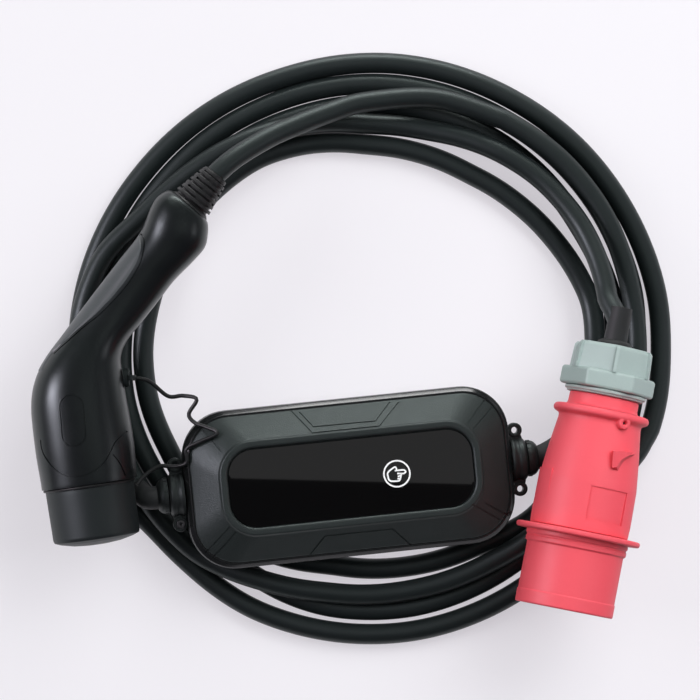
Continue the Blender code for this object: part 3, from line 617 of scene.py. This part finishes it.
def glands():
    """The collars with their screw ears, the nuts and the short tapered sleeves."""
    for side, name in ((-1, "left"), (1, "right")):
        wall = side * (BOX_HALF[0] + GAP)
        quarter = turn(0, 90 * side, 0)
        at = BOX @ Matrix.Translation((wall, 0, GLAND_HEIGHT)) @ quarter
        collar = lathe([(3, 0), (12.2, 0), (12.8, 1.6), (12.0, 3.2), (11.8, 4.2), (12.3, 5.2), (12.3, 7.6),
                        (10.6, 9.0), (3, 9.0)], 64, 0.5)
        parts = [(collar, at)]
        middle = wall + side * 3.8
        ears = []
        for sign in (-1, 1):
            ear = BOX @ Matrix.Translation((middle, sign * 17.2, 16))
            ring = lathe([(1.9, 0), (4.3, 0), (4.3, 6), (3.7, 6.5), (2.3, 6.5), (1.9, 6.0)], 40, 0.3, loop=True)
            parts.append((ring, ear))
            web = []
            for along, half in ((15.0, 3.4), (11.6, 4.4), (8.0, 6.0)):
                web.append([Vector((middle - half * 0.9, sign * along, z)) for z in (16.4, 22.0)]
                           + [Vector((middle + half * 0.9, sign * along, z)) for z in (22.0, 16.4)])
            parts.append((loft(web), BOX))
            ears.append(ear)
        made = solid(f"{name}_collar", join(*parts))
        piece(made, "base_plastic", (f"{name}_gland",))
        if side < 0:
            head = lathe([(0.2, 5.6), (0.6, 6.9), (2.4, 6.9), (3.1, 6.2), (3.1, 5.6)], 32, 0.3)
            slot = [(sector(0, 1.7, -9 + 90 * k, 9 + 90 * k, 6.0, 7.6, 2), Matrix.Identity(4))
                    for k in range(4)]
            screw = solid("left_screw", join((head, Matrix.Identity(4))))
            cut(screw, solid("screw_slot", join(*slot)))
            screw.data.transform(Matrix.Scale(MM, 4) @ ears[0] @ Matrix.Scale(1 / MM, 4))
            piece(screw, "screw_metal")
        nut_at = BOX @ Matrix.Translation((wall + side * 9.3, 0, GLAND_HEIGHT)) @ quarter
        nut = lathe([(6.2, 0), (10.4, 0), (10.4, 2.6), (9.6, 4.6), (7.6, 6.4), (6.2, 6.6)], 64, 0.7)
        grips = [(nut, nut_at)]
        for k in range(18):
            a = math.tau * k / 18
            rib = nut_at @ Matrix.Rotation(a, 4, "Z")
            grips.append((sector(9.9, 10.7, -4, 4, 0.4, 2.4, 2), rib))
        piece(solid(f"{name}_nut", join(*grips)), "base_plastic", (f"{name}_gland_nut",))
        route = curve_through(vehicle[:5] if side > 0 else supply[:5], 2.0)[2:14]
        rings = []
        for i, place in enumerate(route):
            ahead = (route[min(i + 1, len(route) - 1)] - route[max(i - 1, 0)]).normalized()
            across = ahead.cross(Vector((0, 0, 1))).normalized()
            rise = across.cross(ahead)
            wide = CABLE / 2 + 0.75 - 0.6 * i / (len(route) - 1)
            rings.append([place + COIL + wide * (math.cos(t) * across + math.sin(t) * rise)
                          for t in (math.tau * k / 40 for k in range(40))])
        piece(solid(f"{name}_sleeve", loft(rings)), "dark_rubber")


# Vehicle connector
HOUSING_SECTIONS = (
    ((-81.3, -82.6), (-27.1, -74.8), 27.0), ((-82.2, -76.0), (-27.4, -68.0), 27.2),
    ((-85.3, -57.7), (-29.1, -49.6), 27.2), ((-87.7, -32.9), (-33.4, -25.4), 26.4),
    ((-85.3, -17.0), (-35.4, -12.7), 25.0), ((-79.0, -4.4), (-36.0, -3.0), 22.6),
    ((-69.4, 8.6), (-32.2, 6.0), 19.8), ((-59.4, 22.0), (-24.0, 16.2), 17.8),
    ((-48.8, 36.0), (-14.4, 28.4), 17.0), ((-36.9, 51.4), (-5.5, 40.0), 17.0),
    ((-24.8, 67.1), (4.8, 50.4), 17.6), ((-19.6, 80.4), (12.0, 58.8), 18.4),
    ((-15.0, 88.2), (14.0, 67.0), 17.6), ((-7.6, 93.0), (14.0, 74.4), 15.0),
)
RING = 72


def section_at(k):
    """The housing's left edge, right edge and half height at a section number with a fraction."""
    flat = [(*left, *right, high) for left, right, high in HOUSING_SECTIONS]
    i = min(int(k), len(flat) - 2)
    t = k - i
    rows = [np.array(flat[min(max(j, 0), len(flat) - 1)]) for j in (i - 1, i, i + 1, i + 2)]
    if i == 0:
        rows[0] = 2 * rows[1] - rows[2]
    if i == len(flat) - 2:
        rows[3] = 2 * rows[2] - rows[1]
    a, b, c, d = rows
    return (2 * b + (c - a) * t + (2 * a - 5 * b + 4 * c - d) * t ** 2 + (3 * b - a - 3 * c + d) * t ** 3) / 2


def housing_point(k, degrees, outset):
    """A point of the housing: 0 degrees on the right, 90 on top and 180 on the left."""
    x1, y1, x2, y2, high = section_at(k)
    left, right = Vector((x1, y1, 0)), Vector((x2, y2, 0))
    middle, across = (left + right) / 2, (right - left) / 2
    t = math.radians(degrees)
    c = math.copysign(abs(math.cos(t)) ** 0.86, math.cos(t))
    s = math.copysign(abs(math.sin(t)) ** 0.86, math.sin(t))
    width = across.length
    return middle + across * c * (width + outset) / width + Vector((0, 0, 1)) * s * (high + outset)


def housing_ring(k, outset):
    return [housing_point(k, 360 * i / RING, outset) for i in range(RING)]


def connector_housing():
    """The pistol-shaped housing, with the outlines that the photograph shows cut in as fine seams."""
    last = len(HOUSING_SECTIONS) - 1
    front = 0.30
    rings = [housing_ring(front, -6), housing_ring(front, -0.4), housing_ring(front + 0.03, -0.05)]
    rings += [housing_ring(last * i / 78, 0) for i in range(3, 77)]
    rings += [housing_ring(last * 77 / 78, -0.3), housing_ring(last - 0.04, -1.4), housing_ring(last, -3.4),
              housing_ring(last, -5.4)]
    made = solid("grip_shell", loft(rings), GRIP)
    tree = surface(made)
    pad = []
    pad_x, pad_y, pad_radius, pad_half, pad_lean = 72.9, 420.8, 11.6, 13.8, math.radians(-4.9)
    for i in range(48):
        a = math.tau * i / 48
        x = pad_radius * math.cos(a)
        y = pad_radius * math.sin(a) + (pad_half if math.sin(a) > 0 else -pad_half)
        pad.append((pad_x + x * math.cos(pad_lean) - y * math.sin(pad_lean),
                    pad_y + x * math.sin(pad_lean) + y * math.cos(pad_lean)))
    seam = ((40.5, 440), (41.5, 448), (44.6, 456), (52.5, 466.4), (64.2, 474.3), (78.6, 476.9), (93, 471.7),
            (103.5, 462.5), (110, 452), (115.2, 441.6), (122, 435), (127.5, 431.5))
    flap = ((112.6, 454.6), (118, 461), (122, 468), (125.5, 476))
    joint = ((140.5, 233.5), (143.4, 237), (144.3, 241.5), (144.2, 247), (142.3, 256.6), (139.3, 265.6),
             (129.7, 281.7), (116.1, 298.2), (99.7, 314.7), (81.9, 328.8), (66.9, 341.8), (53.5, 353.9))
    cutters = [(groove(tree, [seen(*p) for p in pad], 0.9, 0.6, closed=True), Matrix.Identity(4))]
    for line in (seam, flap, joint):
        points = curve_through([Vector((*p, 0)) for p in line], 3.0)
        cutters.append((groove(tree, [seen(p.x, p.y) for p in points], 0.9, 0.6), Matrix.Identity(4)))
    cut(made, solid("grip_lines", join(*cutters)))
    piece(made, "grip_plastic", ("connector_housing",), sharp=40)


def grip_inlay():
    """The paler panel along the grip's back, out to the border that the camera sees."""
    border = np.array([(236, 142.2), (240, 143.2), (246, 143.2), (256, 141.4), (265, 138.4), (281, 128.8),
                       (297.5, 115.2), (314, 98.8), (328, 81.0), (341, 66.0), (353, 52.6), (366, 44.0)])
    first, last = 4.3, 10.62
    rows, columns = 56, 18
    rings = []
    for row in range(rows + 1):
        k = first + (last - first) * row / rows
        upper = 176.0
        for degrees in range(176, 92, -1):
            point = GRIP @ housing_point(k, degrees, 0)
            down = (point - EYE) / (EYE.z - point.z) * EYE.z
            px, py = 350 + down.x / PIXEL, 350 - down.y / PIXEL
            if py < border[0, 0] or px > np.interp(py, border[:, 0], border[:, 1]):
                break
            upper = degrees
        rings.append((k, upper))
    uppers = eased(np.array([upper for _, upper in rings], float))
    skin = []
    for row, ((k, _), upper) in enumerate(zip(rings, uppers)):
        ring = []
        for column in range(columns + 1):
            u = column / columns
            proud = 0.4 if 0 < u < 1 and 0 < row < rows else -0.5
            ring.append(housing_point(k, upper + (360 - 2 * upper) * u, proud))
        for column in range(columns, -1, -1):
            ring.append(housing_point(k, upper + (360 - 2 * upper) * column / columns, -1.0))
        skin.append(ring)
    piece(solid("back_inlay", loft(skin), GRIP), "inlay_plastic", ("grip_inlay",), sharp=45)


def connector_front():
    """The cap with the tether's loop round its lip, and the eyelet on the housing's side."""
    cap = lathe([(0.5, 25.2), (22.4, 25.2), (23.2, 24.4), (23.2, -3.4), (25.4, -3.4), (25.5, 2.0), (25.1, 27.6),
                 (24.6, 29.2), (21.0, 30.6), (14.0, 32.2), (7.0, 32.9), (0.5, 33.0)], 96, 0.5)
    piece(solid("push_cap", cap, NOZZLE), "cap_rubber", ("dust_cap",))
    loop = lathe([(25.0, -1.9), (26.2, -2.2), (26.8, -1.4), (26.5, -0.5), (25.0, -0.4)], 96, 0.3, loop=True)
    piece(solid("cap_loop", loop, NOZZLE), "tether_rubber")
    eyelet = lathe([(1.5, -1.6), (3.2, -1.6), (3.2, 1.6), (1.5, 1.6)], 40, 0.5, loop=True)
    plate = []
    for x in (-34.6, -33.0, -31.4):
        half = 5.6 if x == -33.0 else 5.0
        plate.append([Vector((x, -16.0 + half * math.cos(math.tau * i / 24), 2.6 * math.sin(math.tau * i / 24)))
                      for i in range(24)])
    built = join((loft(plate), Matrix.Identity(4)),
                 (eyelet, Matrix.Translation((-30.6, -16.0, 0)) @ turn(90, 0, 0)))
    piece(solid("cord_anchor", built, GRIP), "cap_rubber", ("tether_eyelet",))


def ribbed_boot():
    """The strain relief: rings on a tapered core, tied by short bars that alternate."""
    parts = [(lathe([(5.8, -6), (10.4, -6), (10.4, 0), (7.2, 20.4), (5.8, 20.4)], 64, 0.4), BOOT),
             (lathe([(5.8, -8), (13.0, -7), (12.8, -2.4), (11.0, -0.6), (5.8, -0.6)], 72, 0.6), BOOT)]
    ribs = 6
    pitch = 19.0 / ribs
    for i in range(ribs):
        radius = 12.0 - 3.6 * i / ribs
        low = pitch * i + 0.6
        high = low + pitch * 0.64
        parts.append((lathe([(6.2, low), (radius, low), (radius - 0.3, high), (6.2, high)], 72, 0.4), BOOT))
        for k in range(2):
            a = 90 * (i % 2) + 180 * k + 20
            parts.append((sector(6.2, radius - 0.7, a - 20, a + 20, high - 0.4, low + pitch + 0.3, 6), BOOT))
    parts.append((lathe([(6.0, 19.0), (8.2, 19.0), (7.7, 21.0), (6.4, 21.6), (6.0, 21.6)], 64, 0.4), BOOT))
    piece(solid("ribbed_boot", join(*parts)), "boot_rubber", ("cable_boot",))


# Supply plug
def supply_plug():
    """The red plug: shroud, body with a bare label plate, lug, catch and the pale seal under the nut."""
    shroud = [(25.5, 30), (25.5, 0.8), (26.0, 0.0), (28.0, 0.0), (28.5, 0.7), (28.5, 7.4), (28.1, 7.9),
              (28.1, 35.2), (28.6, 35.6), (29.3, 36.2), (29.3, 38.4), (28.9, 38.8), (28.9, 39.6), (29.6, 40.2),
              (29.6, 42.4), (35.2, 42.6), (36.0, 43.4), (36.0, 45.0), (35.2, 45.8), (20.0, 45.8), (20.0, 30)]
    piece(solid("red_shroud", lathe(shroud, 128, 0.35, loop=True), PLUG), "plug_plastic",
          ("plug_shroud",))
    body = [(19.0, 46.1), (28.5, 46.1), (28.8, 54.0), (28.4, 74.0), (26.4, 92.0), (24.0, 109.0), (24.2, 111.2),
            (26.4, 112.0), (27.8, 113.2), (27.8, 115.2), (26.8, 116.6), (21.0, 117.2), (20.3, 118.4),
            (20.1, 124.5), (15.0, 124.5)]
    made = solid("red_body", lathe(body, 144, 1.0), PLUG)
    tree = surface(made)
    cut(made, solid("label_pocket", sector(27.7, 33.0, 181.0, 231.0, 52.8, 72.2, 24), PLUG))
    piece(made, "plug_plastic", ("plug_housing",), sharp=28)
    plate = sector(26.6, 27.95, 182.0, 230.0, 53.8, 71.2, 24)
    step = sector(27.0, 28.75, 90, 128, 61.5, 78, 20)
    lug = lathe([(1.3, 22.0), (3.9, 22.0), (3.9, 26.6), (3.4, 27.3), (1.8, 27.3), (1.3, 26.8)], 48, 0.3,
                loop=True)
    tab = PLUG @ turn(0, 0, 208.4) @ Matrix.Translation((0, 0, 111.0)) @ turn(0, 90, 0)
    # A dark pin set in the lug's hole is painted shade: the hole looks dark only because it lies in shadow.
    hole_shade = lathe([(0.2, 20.0), (1.25, 20.0), (1.25, 24.6), (0.2, 24.6)], 24)
    details = join((plate, PLUG), (step, PLUG), (lug, tab))
    piece(solid("red_details", details), "plug_plastic")
    piece(solid("lug_shade", hole_shade, tab), "dark_rubber")
    # The catch's corners: where the foot and the top are seen in the frame, and the top's height in millimetres
    corners = ((613.2, 450.2, 613.3, 450.5, 4.7), (629.1, 451.6, 629.0, 452.0, 4.4),
               (635.3, 454.4, 634.0, 454.2, 4.2), (633.0, 455.8, 629.4, 455.2, 4.0),
               (624.0, 462.2, 622.0, 459.2, 3.8), (619.8, 469.5, 617.9, 465.0, 3.1),
               (618.2, 472.6, 616.8, 467.0, 2.5), (611.6, 468.2, 611.9, 467.6, 2.2))
    feet, tops = [], []
    for px, py, top_px, top_py, height in corners:
        sight = (seen(px, py) - EYE).normalized()
        feet.append(tree.ray_cast(EYE, sight)[0] + sight * 1.2)
        sight = (seen(top_px, top_py) - EYE).normalized()
        place, normal, _, _ = tree.ray_cast(EYE, sight)
        tops.append(place + sight * (height / sight.dot(normal)))
    ground = [foot.lerp(top, 0.3) for foot, top in zip(feet, tops)]
    piece(solid("red_catch", loft([feet, ground, tops])), "plug_plastic", ("plug_catch",), sharp=25)
    seal = lathe([(15, 124.6), (21.6, 124.6), (22.2, 125.0), (22.2, 125.8), (23.4, 126.0), (23.6, 127.4),
                  (22.8, 127.8), (15, 127.8)], 96, 0.25)
    piece(solid("pale_seal", seal, PLUG), "seal_plastic", ("nut_seal",))


def ring_of_sides(count, flat_radius, height, corner=0.10, phase=0.0):
    """A polygon's outline with rounded corners, as points about Z."""
    points = []
    half = math.pi / count
    for side in range(count):
        for t in (-1 + corner, -0.5, 0, 0.5, 1 - corner, 1):
            a = half * t
            pull = 1 / math.cos(a) if abs(t) < 1 else 1 / math.cos(half * (1 - corner * 0.6))
            r = flat_radius * pull
            angle = phase + 2 * half * side + a
            points.append(Vector((r * math.cos(angle), r * math.sin(angle), height)))
    return points


def plug_nut():
    """The grey gland nut: a wide six-sided collar, then a narrower grip with a rib on each corner."""
    profile = ((14, 128.1), (22.9, 128.1), (23.9, 129.2), (23.9, 137.4), (22.9, 138.6), (14, 139.0))
    collar = soften([ring_of_sides(6, r, h, 0.08) for r, h in profile], 0.7)
    phase = math.radians(153)
    profile = ((12, 138.2), (20.6, 138.2), (19.9, 152.4), (18.6, 154.2), (12, 154.5))
    grip = soften([ring_of_sides(6, r, h, 0.14, phase) for r, h in profile], 0.8)
    parts = [(loft(collar), PLUG), (loft(grip), PLUG)]
    for k in range(6):
        a = math.degrees(phase) + 30 + 60 * k
        rib = [(18.0, 138.4), (24.9, 138.4), (24.2, 152.2), (22.9, 153.8), (18.0, 153.8)]
        half = [math.radians(a - 2.4), math.radians(a + 2.4)]
        rings = [[Vector((r * math.cos(t), r * math.sin(t), h)) for r, h in rib] for t in half]
        parts.append((loft(rings), PLUG))
    piece(solid("grey_nut", join(*parts)), "nut_plastic", ("plug_nut",))
    seat = lathe([(6.1, 153.4), (10.4, 154.6), (9.8, 156.4), (7.6, 157.6), (6.1, 157.8)], 64, 0.3)
    sleeve = lathe([(5.9, 156.5), (6.9, 156.5), (6.3, 177.0), (5.9, 177.0)], 48, 0.3)
    piece(solid("plug_grommet", join((seat, PLUG), (sleeve, PLUG))), "dark_rubber",
          ("cable_grommet",))


box_shells()
touch_panel()
glands()
connector_housing()
grip_inlay()
connector_front()
ribbed_boot()
supply_plug()
plug_nut()

# CAD nodes that stay, with procedural looks
KEPT = {
    "seal": "dark_rubber", "circuit_board": "board_lacquer", "relay": "relay_plastic",
    "current_sensor": "relay_plastic", "contact_sleeve": "pin_metal", "plug_pin": "pin_metal",
    "nozzle_barrel": "grip_plastic", "contact_carrier": "carrier_plastic", "pin_carrier": "carrier_plastic",
}
for name, node in frame["nodes"].items():
    chosen = next((made for word, made in KEPT.items() if word in name), "part_plastic")
    node.data.materials.clear()
    node.data.materials.append(look(chosen))

# Floor: pale paper, which takes shadows, with a glow that only the camera and reflections see
floor_mesh = bmesh.new()
bmesh.ops.create_grid(floor_mesh, x_segments=8, y_segments=8, size=4000.0)
floor = solid("floor", floor_mesh)
paper = bpy.data.materials.new("paper")
paper.use_nodes = True
tree = paper.node_tree
tree.nodes.clear()
cloud = add_node(tree, "ShaderNodeTexNoise", scale=3.0, detail=2.0)
tree.links.new(add_node(tree, "ShaderNodeTexCoord").outputs["Object"], cloud.inputs["Vector"])
blend = add_node(tree, "ShaderNodeMix", data_type="RGBA")
blend.inputs[6].default_value = (0.35, 0.35, 0.36, 1)
blend.inputs[7].default_value = (0.37, 0.37, 0.38, 1)
tree.links.new(cloud.outputs["Fac"], blend.inputs[0])
matt = add_node(tree, "ShaderNodeBsdfDiffuse")
tree.links.new(blend.outputs[2], matt.inputs["Color"])
glow = add_node(tree, "ShaderNodeEmission")
glow.inputs["Color"].default_value = (0.971, 0.932, 0.995, 1)
ray = add_node(tree, "ShaderNodeLightPath")
kinds = [ray.outputs[kind] for kind in ("Is Camera Ray", "Is Glossy Ray", "Is Transmission Ray")]
strength = add_node(tree, "ShaderNodeMath", operation="MAXIMUM")
tree.links.new(kinds[0], strength.inputs[0])
tree.links.new(kinds[1], strength.inputs[1])
either = add_node(tree, "ShaderNodeMath", operation="MAXIMUM")
tree.links.new(strength.outputs[0], either.inputs[0])
tree.links.new(kinds[2], either.inputs[1])
level = add_node(tree, "ShaderNodeMath", operation="MULTIPLY")
level.inputs[1].default_value = 0.547
tree.links.new(either.outputs[0], level.inputs[0])
tree.links.new(level.outputs[0], glow.inputs["Strength"])
both = add_node(tree, "ShaderNodeAddShader")
tree.links.new(matt.outputs[0], both.inputs[0])
tree.links.new(glow.outputs[0], both.inputs[1])
tree.links.new(both.outputs[0], add_node(tree, "ShaderNodeOutputMaterial").inputs["Surface"])
floor.data.materials.append(paper)

# World: greener at the back, darker at the front, and dim straight above, where the panel reflects it
world = bpy.data.worlds.new("studio")
scene.world = world
world.use_nodes = True
tree = world.node_tree
back = tree.nodes["Background"]
way = add_node(tree, "ShaderNodeSeparateXYZ")
tree.links.new(add_node(tree, "ShaderNodeTexCoord").outputs["Generated"], way.inputs[0])
side = add_node(tree, "ShaderNodeMapRange")
side.inputs["From Min"].default_value = -1.0
side.inputs["From Max"].default_value = 1.0
tree.links.new(way.outputs["Y"], side.inputs["Value"])
tint = add_node(tree, "ShaderNodeValToRGB")
tint.color_ramp.elements[0].color = (0.10, 0.10, 0.115, 1)
tint.color_ramp.elements[1].color = (0.60, 0.68, 0.65, 1)
middle = tint.color_ramp.elements.new(0.5)
middle.color = (0.34, 0.30, 0.37, 1)
tree.links.new(side.outputs["Result"], tint.inputs["Fac"])
roof = add_node(tree, "ShaderNodeMapRange")
roof.inputs["From Min"].default_value = 0.90
roof.inputs["From Max"].default_value = 0.965
roof.inputs["To Min"].default_value = 0.35
roof.inputs["To Max"].default_value = 0.06
tree.links.new(way.outputs["Z"], roof.inputs["Value"])
tree.links.new(tint.outputs["Color"], back.inputs["Color"])
tree.links.new(roof.outputs["Result"], back.inputs["Strength"])


def lamp(name, place, aim, size, power, colour=(1, 1, 1), only=None):
    """A soft box; with only "gloss" or "fill" it shows in reflections or in the diffuse light alone."""
    data = bpy.data.lights.new(name, "AREA")
    data.shape = "RECTANGLE"
    data.size, data.size_y = size
    data.energy = power
    data.color = colour
    made = bpy.data.objects.new(name, data)
    made.location = place
    made.rotation_euler = (Vector(aim) - Vector(place)).to_track_quat("-Z", "Y").to_euler()
    made.visible_camera = False
    made.visible_diffuse = only != "gloss"
    made.visible_glossy = only != "fill"
    scene.collection.objects.link(made)
    return made


# The fills light the object and the floor, and the boxes make the highlights on dark plastic and cable
lamp("overhead", (-0.25, 0.35, 2.0), (0.05, 0, 0.03), (1.8, 1.6), 6.0, only="fill")
lamp("right_fill", (1.2, 0.5, 1.4), (0.1, 0, 0.03), (1.2, 1.2), 17.0, only="fill")
lamp("back_fill", (0.8, 1.2, 1.4), (0.1, 0, 0.03), (1.2, 1.2), 20.0, only="fill")
lamp("left_fill", (-1.7, 0.3, 1.05), (0.0, 0, 0.03), (1.2, 0.9), 17.5, only="fill")
lamp("left_box", (-1.6, 0.25, 1.2), (0.0, 0, 0.03), (0.5, 0.8), 28.0, (1.02, 0.90, 1.05), only="gloss")
lamp("top_box", (0.1, 2.0, 0.85), (0.05, 0, 0.03), (1.2, 0.5), 4.0, only="gloss")
lamp("strip_box", (0.1, 2.1, 0.24), (0.05, 0, 0.03), (1.6, 0.35), 26.0, only="gloss")
lamp("right_box", (1.7, -0.1, 1.1), (0.1, 0, 0.03), (0.4, 0.8), 2.4, (1.0, 0.90, 0.97), only="gloss")
# It hangs level, and its near edge makes the line across the panel
soft = lamp("panel_light", (0.304, 0.142, 1.6), (0.304, 0.142, 0.0), (1.0, 0.5), 0.75)
soft.rotation_euler.z = math.radians(-1.7)
